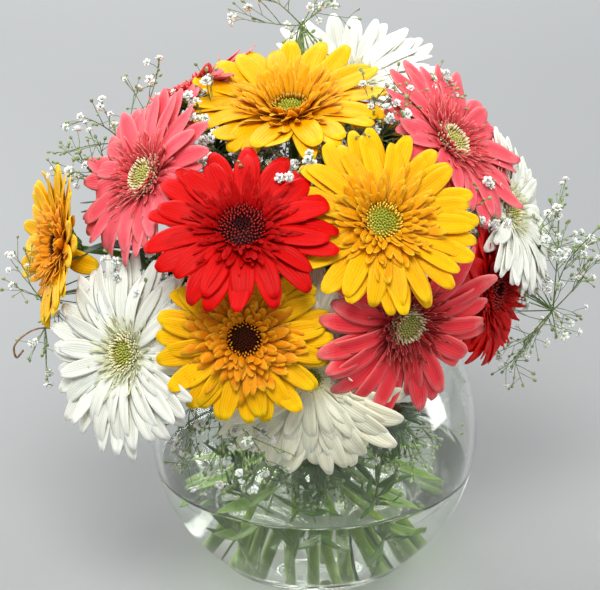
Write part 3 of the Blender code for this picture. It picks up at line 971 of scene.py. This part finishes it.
def bowl(material):
    """Blown glass: even wall, thick base with a shallow push-up, fire-polished lip."""
    radius, middle, top, _ = bowl_sizes()
    lip = WALL / 2
    foot = 0.0035
    outer = list(sphere_line(radius, middle, foot, top - lip, 40))
    inner = list(sphere_line(radius - WALL, middle, BASE_THICK + 0.004, top - lip, 40))
    base_r = outer[0][0] - 0.0028
    profile = [(0.0, 0.0012), (base_r * 0.55, 0.0010), (base_r * 0.86, 0.0002), (base_r * 0.93, 0.0)]
    profile += list(round_corner((base_r, 0.0030), 0.0030, -90, -35, 5))
    profile += outer[1:]
    edge = ((outer[-1][0] + inner[-1][0]) / 2, top - lip)
    profile += list(round_corner(edge, lip, 10, 170, 9))
    profile += inner[::-1]
    floor_r = inner[0][0]
    profile += [(floor_r - 0.0035, BASE_THICK + 0.0012), (floor_r * 0.82, BASE_THICK), (0.0, BASE_THICK)]
    return lathe("clear_bowl", profile, material)


def water(material):
    """The water, a little into the glass so that no air shows between them, creeping up at the wall."""
    radius, middle, _, level = bowl_sizes()
    inside = radius - WALL + 0.0003
    side = list(sphere_line(inside, middle, BASE_THICK + 0.004, level + 0.0014, 26))
    wet_r = side[-1][0]
    profile = [(0.0, BASE_THICK - 0.0003), (side[0][0] * 0.82, BASE_THICK - 0.0003),
               (side[0][0] - 0.0035, BASE_THICK + 0.0009)]
    profile += side
    profile += [(wet_r - 0.0008, level + 0.0006), (wet_r - 0.0020, level + 0.0002), (wet_r - 0.0045, level),
                (wet_r * 0.5, level), (0.0, level)]
    return lathe("still_water", profile, material)


# ---------------------------------------------------------------- baby's breath


def tuft_template():
    """A double flower of baby's breath: small crimped petals in three layers."""
    pieces = []
    petal = petal_template("tuft_petal", (0.45, 1.0, 0.7), 0.0, 1, 0, 0.00016)
    for layer, (count, length, lift) in enumerate(((5, 0.0032, 0.25), (4, 0.0028, 0.85), (3, 0.0022, 1.25))):
        for k in range(count):
            turn = math.tau * (k + 0.5 * layer) / count
            pieces.append(pose_petal(
                petal, length, 0.0026, 0.0003, lift, between(-0.5, 0.2),
                twist=between(-0.3, 0.3), height=0.0004 * layer, turn=turn, tone=0.5))
    bpy.data.objects.remove(petal)
    return joined("tuft", pieces)


def bud_template():
    deselect()
    bpy.ops.mesh.primitive_uv_sphere_add(segments=6, ring_count=5, radius=0.0010, calc_uvs=True)
    bud = started("breath_bud")
    bud.scale = (1, 1, 1.35)
    bud.location.z = 0.0010
    settle(bud)
    bud.data.uv_layers[0].name = "UVMap"
    set_marks(bud.data, tone=0.5)
    return bud


def spray_tips(node):
    """The round ends of a sprig's branches in the frame."""
    points = cad_points(node)
    left = points[points[:, 2] > 0.10]
    tips = []
    while len(left):
        first = left[np.linalg.norm(left - np.array((0, 0, 0.12)), axis=1).argmax()]
        near = np.linalg.norm(left - first, axis=1) < 0.0085
        size = np.ptp(left[near], axis=0)
        if sorted(size)[0] > 0.0022:
            tips.append(Vector(left[near].mean(axis=0)))
        left = left[~near]
    return tips


def spray_hub(node, tips):
    """Where the branches of a sprig leave its stem."""
    points = cad_points(node)
    points = points[points[:, 2] > 0.14]
    total = sum(np.linalg.norm(points - np.array(t), axis=1) for t in tips)
    return Vector(points[total.argmin()])


def twig(start, end, bow, steps):
    """A thin twig that bows a little on its way."""
    middle = (start + end) / 2 + bow
    return [start * (1 - t) ** 2 + middle * 2 * t * (1 - t) + end * t * t
            for t in (i / steps for i in range(steps + 1))]


def kept(at):
    """The point, pulled in if it is far outside the frame's box."""
    low, high = cad_box
    return Vector([min(max(c, a - 0.012), b + 0.012) for c, a, b in zip(at, low, high)])


def wander(scale):
    return Vector([chance.gauss(0, scale) for _ in range(3)])


def place_shape(template, at, way, size, tone):
    """A copy of a flower or bud that stands at a point and looks one way."""
    turn = way.to_track_quat("Z", "Y").to_matrix()
    spin = Matrix.Rotation(between(0, 6.28), 3, "Z")
    basis = np.array(turn @ spin) * size
    return copy_shaped(template, points_of(template.data) @ basis.T + np.array(at), tone)


def sprig(hub, tips, side_twigs, flower_share, tuft, bud, runs, flowers, buds):
    """Branches from the hub to the tips, each with forked side twigs that end in flowers and buds."""

    def ending(at, way):
        if chance.random() < flower_share:
            flowers.append(place_shape(tuft, at, way, between(0.60, 1.05), chance.random()))
        else:
            buds.append(place_shape(bud, at, way, between(0.7, 1.2), chance.random()))

    for tip in tips:
        line = twig(hub, tip, wander(0.004) + Vector((0, 0, 0.004)), 8)
        runs.append([(p, 1.0 - 0.5 * i / 8) for i, p in enumerate(line)])
        ending(tip, (tip - line[-2]).normalized())
        for k in range(side_twigs):
            at = 3 + (k * 5) // side_twigs
            start = line[at]
            along = (line[at + 1 if at < 8 else at] - line[at - 1]).normalized()
            way = (along + wander(0.55)).normalized()
            end = kept(start + way * between(0.012, 0.026))
            side = twig(start, end, wander(0.0015), 4)
            runs.append([(p, 0.6 - 0.2 * i / 4) for i, p in enumerate(side)])
            ending(end, (end - side[-2]).normalized())
            for _ in range(2):
                fork_start = side[chance.choice((2, 3))]
                fork_way = (way + wander(0.6)).normalized()
                fork_end = kept(fork_start + fork_way * between(0.006, 0.013))
                runs.append([(p, 0.42) for p in twig(fork_start, fork_end, wander(0.0008), 2)])
                ending(fork_end, fork_way)


# A withered shoot curls out past the blooms at the left. Its points are in millimetres.
TENDRIL = [(-112, 10, 164), (-136, -8, 150), (-156, -25, 158), (-165, -30, 159),
           (-173, -34, 155), (-177, -34, 149), (-176, -32, 142), (-172, -30, 146)]


def tendril(material):
    line = smooth_line(places(TENDRIL), 6)
    run = [(p, 1.0 + 0.8 * i / len(line)) for i, p in enumerate(line)]
    take(rods("withered_shoot", [run], 0.00042, 2, material), "babys_breath")


TWIG_RADIUS = 0.00045
MOUTH_HEIGHT = 0.13

# For each sprig: side twigs on a branch and the share of twigs that end in an open flower.
SPRAY_DENSITY = {"spray_right": (8, 0.24), "spray_top": (4, 0.30), "spray_left": (4, 0.20),
                 "spray_back_left": (3, 0.30), "spray_front_low": (5, 0.34)}

# Side clusters of each sprig that fill the gaps between the blooms: the fork, then the tips, in
# millimetres.
GAP_CLUSTERS = {
    "spray_top": [
        [(-20, -40, 240), (-24, -66, 272), (-30, -50, 268), (-12, -60, 264)],
        [(30, -10, 262), (42, -34, 289), (30, -44, 286), (50, -26, 296), (36, -22, 300)],
        [(40, 20, 262), (58, 12, 284), (68, 24, 292), (52, 4, 280), (76, 16, 286)]],
    "spray_back_left": [
        [(-48, 6, 244), (-56, -10, 258), (-46, -6, 262), (-62, -14, 252)],
        [(-58, -10, 262), (-64, -24, 282), (-57, -46, 277), (-70, -12, 290), (-60, -4, 292)],
        [(-120, 4, 232), (-134, -4, 252), (-142, 2, 246), (-126, 4, 262)]],
    "spray_left": [
        [(-74, -50, 188), (-76, -76, 198), (-72, -84, 190), (-84, -70, 206)],
        [(-90, -40, 204), (-102, -62, 214), (-94, -66, 216)]],
    "spray_front_low": [
        [(-6, -62, 182), (-6, -84, 192), (6, -76, 196), (2, -66, 206)],
        [(-6, -52, 106), (-12, -60, 74), (8, -60, 78), (-24, -56, 94)],
        [(16, -50, 110), (20, -58, 88), (38, -52, 92)],
        [(-26, -46, 112), (-34, -52, 94), (-20, -56, 90)],
        [(4, -58, 98), (12, -64, 70), (-2, -66, 76)],
        [(34, -46, 112), (44, -54, 92), (54, -50, 98)],
        [(-42, -40, 110), (-52, -46, 92), (-44, -56, 86)]],
    "spray_right": [
        [(78, -22, 222), (88, -44, 236), (82, -50, 228), (94, -36, 240)],
        [(120, 20, 190), (138, 4, 204), (146, 16, 214), (142, 20, 190), (136, 14, 176)],
        [(46, -40, 114), (60, -48, 96), (58, -56, 84), (64, -40, 104)]],
}

# Thicker green stalks that stand in the water under the low white head, with tufts of leaves, in
# millimetres.
BOWL_STALKS = {
    "spray_front_low": [(-14, -40, 10), (-8, -50, 42), (1, -55, 73),
                        (7, -55, 98), (6, -46, 128)],
    "spray_right": [(30, -34, 10), (36, -45, 45), (38, -50, 71),
                    (42, -50, 104), (40, -40, 130)],
    "spray_left": [(-26, -30, 10), (-40, -40, 45), (-46, -44, 70),
                   (-44, -42, 100), (-36, -36, 130)],
}

# Ranges of bearings over which each sprig fills the inside of the dome of blooms, and how many forks.
INNER_RANGE = {"spray_top": ((-30, 40, 5), (130, 230, 5)),
               "spray_back_left": ((-75, -30, 4), (-150, -100, 4)),
               "spray_left": ((-70, -20, 4),), "spray_front_low": ((-20, 25, 4),),
               "spray_right": ((25, 85, 4), (95, 150, 4))}


def inner_clusters(node):
    """Forks and tips spread inside the dome, behind the ring of blooms."""
    heights = (-8, 14) if node in ("spray_left", "spray_front_low") else (12, 62)
    for low, high, count in INNER_RANGE[node]:
        for _ in range(count):
            bearing, rise = math.radians(between(low, high)), math.radians(between(*heights))
            level = math.cos(rise)
            way = Vector((math.sin(bearing) * level, -math.cos(bearing) * level, math.sin(rise)))
            fork = Vector((0, 0, 0.190)) + way * 0.048
            yield [fork] + [fork + (way + wander(0.5)) * between(0.014, 0.028) for _ in range(4)]


def fork_leaves(fork, hub, count, template, leaves):
    """A tuft of narrow leaves round a fork, pointing on from the way it came."""
    ahead = (fork - hub).normalized()
    for _ in range(count):
        way = (ahead + wander(0.6)).normalized()
        end = kept(fork + way * between(0.016, 0.030))
        rib = (fork, (fork + end) / 2 + wander(0.002), end)
        leaves.append(blade_along(template, rib, between(0.0028, 0.0052), 0.0008, chance.random()))


def babys_breath(node, tuft, bud, lance, paints):
    tips = spray_tips(node)
    hub = spray_hub(node, tips)
    line = smooth_line(stalk_centres(node) + [hub], 6)
    runs = [[(p, 1.2 - 0.4 * i / len(line)) for i, p in enumerate(line)]]
    flowers, buds, dome_leaves, bowl_leaves = [], [], [], []
    count, share = SPRAY_DENSITY[node]
    sprig(hub, tips, count, share, tuft, bud, runs, flowers, buds)
    for fork, *ends in [places(cluster) for cluster in GAP_CLUSTERS[node]] + list(inner_clusters(node)):
        fork = Vector(fork)
        in_bowl = fork.z < MOUTH_HEIGHT
        leave = Vector(min(line[6:], key=lambda p: np.linalg.norm(p - fork)) if in_bowl else line[-1])
        away = twig(leave, fork, Vector((0, 0, 0.010)), 10)
        runs.append([(p, (2.0 if in_bowl else 1.1) - 0.05 * i) for i, p in enumerate(away)])
        sprig(fork, [Vector(e) for e in ends], 5, 0.06 if in_bowl else 0.42, tuft, bud, runs, flowers, buds)
        # forks among the blooms get the darker leaf green, which is painted shade of the gaps between the
        # blooms
        fork_leaves(fork, leave, 24 if in_bowl else 20, lance, bowl_leaves if in_bowl else dome_leaves)
    if node in BOWL_STALKS:
        stalk = smooth_line(places(BOWL_STALKS[node]), 6)
        runs.append([(p, 2.8 - 1.2 * i / len(stalk)) for i, p in enumerate(stalk)])
        for spot in range(5, 22, 3):
            fork_leaves(Vector(stalk[spot]), Vector(stalk[spot - 1]), 5, lance, bowl_leaves)
    take(rods(node + "_twigs", runs, TWIG_RADIUS, 1, paints["twig"]), "babys_breath", node)
    take(joined(node + "_flowers", flowers, paints["tuft"]), "babys_breath")
    take(joined(node + "_buds", buds, paints["breath_bud"]), "babys_breath")
    take(joined(node + "_dome_leaves", dome_leaves, paints["dome_leaf"]), "leaf")
    if bowl_leaves:
        take(joined(node + "_bowl_leaves", bowl_leaves, paints["stalk_leaf"]), "leaf")


def tuft_paint():
    return floret_paint("tuft_white", (206, 216, 180), (238, 240, 232), (246, 247, 244), 0.5, 900.0, 0.88,
                        0.14, subsurface_weight=0.3, subsurface_scale=0.001, sheen_weight=0.1,
                        specular_ior_level=0.5)


def green_paint(name, dark, pale):
    p = Paint(name, roughness=0.5)
    grain = p.noise(p.place(), 420.0, 3.0)
    p.set("Base Color", p.mix(grain.rise(0.3, 0.7), linear(*dark), linear(*pale)))
    p.set("Roughness", 0.42 + grain * 0.2)
    p.bump(grain, 0.0001)
    return p.material


# ---------------------------------------------------------------- leaves


def blade_along(template, rib, width, fold, tone, steps=6):
    """A copy of a flat blade laid along a rib; its upper face looks up and away from the bowl's axis."""
    flat = points_of(template.data)
    path = np.array(smooth_line(rib, steps))
    table = np.linspace(0, 1, len(path))
    y = flat[:, 1].clip(0, 1)

    def at(share):
        return np.stack([np.interp(share.clip(0, 1), table, path[:, i]) for i in range(3)], axis=1)

    def unit(ways):
        return ways / np.linalg.norm(ways, axis=1)[:, None]

    centre = at(y)
    ahead = unit(at(y + 0.03) - at(y - 0.03))
    away = unit(centre * (1, 1, 0) + 1e-6) + np.array((0, 0, 0.6))
    side = unit(np.cross(ahead, away))
    up = np.cross(side, ahead)
    height = flat[:, 2] + np.abs(flat[:, 0]) * fold
    return copy_shaped(template, centre + side * (flat[:, 0] * width)[:, None] + up * height[:, None], tone)


# The midribs of the two leaves and their breadths, in millimetres.
LEAF_RIBS = {
    "leaf_left": ([(-70, -12, 178), (-96, -26, 204), (-120, -34, 212), (-140, -44, 208)], 20),
    "leaf_low": ([(24, -52, 156), (36, -56, 138), (46, -57, 115), (50, -56, 90)], 7),
}


def leaf(node, template, material):
    """A leaf blade on a thin stalk that stands in the bowl."""
    rib, width = places(LEAF_RIBS[node][0]), mm(LEAF_RIBS[node][1])
    blade = blade_along(template, rib, width, width * 0.25, 0.5)
    take(joined(node + "_blade", [blade], material), "leaf", node)
    run = [(p, 1.0) for p in smooth_line(stalk_centres(node) + rib[:1], 6)]
    take(rods(node + "_stalk", [run], 0.0008, 2, material), "leaf")


def stalk_leaves(node, template, pairs, material):
    """Pairs of narrow leaves along the part of a sprig's stalk that stands in the bowl."""
    line = smooth_line(stalk_centres(node), 10)
    pieces = []
    for pair in range(pairs):
        spot = int((0.18 + 0.74 * (pair + chance.random() * 0.6) / pairs) * (len(line) - 2))
        base, way = Vector(line[spot]), (Vector(line[spot + 1]) - Vector(line[spot])).normalized()
        across = way.orthogonal().normalized()
        across.rotate(Matrix.Rotation(between(0, 6.28), 3, way))
        for sign in (-1, 1):
            length = between(0.018, 0.036)
            out = (way * 0.7 + across * sign).normalized()
            middle = base + out * length * 0.55
            end = base + out * length + Vector((0, 0, -between(0.001, 0.010)))
            if max(math.hypot(p.x, p.y) for p in (middle, end)) > 0.080 or end.z < 0.016:
                continue
            width, tone = between(0.0024, 0.0046), chance.random()
            pieces.append(blade_along(template, (base, middle, end), width, 0.0006, tone))
    if pieces:
        take(joined(node + "_stalk_leaves", pieces, material), "leaf")


# Pairs of leaves on each sprig's stalk.
STALK_LEAVES = {"spray_right": 14, "spray_top": 10, "spray_left": 14, "spray_back_left": 10,
                "spray_front_low": 20}

# Broader, paler leaves low in the bowl, near its two sides, in millimetres.
BROAD_LEAVES = {
    "left": [[(-22, -16, 76), (-50, -26, 62), (-74, -36, 50)],
             [(-24, 6, 66), (-56, 8, 54), (-80, 4, 50)],
             [(-20, -30, 50), (-44, -46, 40), (-58, -60, 44)]],
    "right": [[(20, -10, 76), (54, -20, 64), (78, -26, 56)],
              [(24, 14, 62), (58, 20, 56), (80, 18, 58)],
              [(30, -26, 46), (52, -44, 40), (64, -56, 46)]],
}


def broad_leaves(side, template, material):
    blades = [blade_along(template, places(rib), 0.0125, 0.003, chance.random(), 8)
              for rib in BROAD_LEAVES[side]]
    take(joined("bowl_leaves_" + side, blades, material), "leaf")


# ---------------------------------------------------------------- making it all


# leaves and twigs: how they are painted, the material's name, its dark and its pale colour, 0 to 255
GREENS = {
    "bract": (leaf_paint, "bract_green", (78, 110, 36), (130, 152, 70)),
    "leaf": (leaf_paint, "leaf_green", (24, 56, 22), (48, 84, 34)),
    "stalk_leaf": (leaf_paint, "stalk_leaf_green", (46, 82, 22), (94, 134, 42)),
    # leaves among the blooms: the green of the leaves on the stalks made darker, as painted shade for the
    # gaps between the blooms
    "dome_leaf": (leaf_paint, "dome_leaf_green", (30, 54, 22), (62, 88, 38)),
    "pale_leaf": (leaf_paint, "pale_leaf_green", (108, 148, 40), (148, 180, 72)),
    "twig": (green_paint, "twig_green", (70, 96, 40), (122, 142, 78)),
    "withered": (green_paint, "withered_brown", (96, 66, 40), (158, 118, 76)),
    "breath_bud": (green_paint, "breath_bud_green", (98, 120, 66), (158, 176, 120)),
}


def all_paints():
    paints = {"stem": stem_paint(), "tuft": tuft_paint(),
              "glass": clear_paint("clear_glass", (0.950, 0.970, 0.938), 1.50, 0.95),
              "water": clear_paint("clear_water", (0.968, 0.988, 0.940), 1.33, 0.99, 0.13)}
    for key, (paint, name, dark, pale) in GREENS.items():
        paints[key] = paint(name, dark, pale)
    for colour, tones in RAY_COLOURS.items():
        paints["ray_" + colour] = petal_paint("petal_" + colour, *tones)
    for colour, tones in INNER_COLOURS.items():
        paints["inner_" + colour] = petal_paint("inner_floret_" + colour, *tones, vein=0.05)
    for colour, (bud, ring) in DISC_COLOURS.items():
        paints["bud_" + colour] = floret_paint("disc_bud_" + colour, *bud)
        paints["ring_" + colour] = floret_paint("disc_ring_" + colour, *ring)
    return paints


def ground():
    deselect()
    bpy.ops.mesh.primitive_plane_add(size=40, location=(0, 12, -0.0002))
    plane = started("ground")
    plane.data.materials.append(floor_paint())


def main():
    camera()
    studio()
    ground()
    paints = all_paints()
    take(bowl(paints["glass"]), "glass", "glass_bowl")
    take(water(paints["water"]), "water", "water")
    shapes = petal_shapes()
    florets = floret_shapes()
    for name in BLOOMS:
        gerbera(name, shapes, florets, paints)
    tuft, bud = tuft_template(), bud_template()
    lance = petal_template("lance_leaf", (0.20, 0.85, 1.0, 0.70, 0.08), 0.0, 2, 0, 0.0004)
    for node in SPRAY_DENSITY:
        babys_breath(node, tuft, bud, lance, paints)
    tendril(paints["withered"])
    blade = petal_template("leaf_blade", (0.10, 0.55, 0.90, 1.0, 0.86, 0.52, 0.06), 0.0, 4, 1, 0.0005)
    for node in LEAF_RIBS:
        leaf(node, blade, paints["leaf"])
    for node, pairs in STALK_LEAVES.items():
        stalk_leaves(node, lance, pairs, paints["stalk_leaf"])
    for side in BROAD_LEAVES:
        broad_leaves(side, blade, paints["pale_leaf"])
    for template in (*shapes.values(), *florets, tuft, bud, blade, lance):
        bpy.data.objects.remove(template)


main()
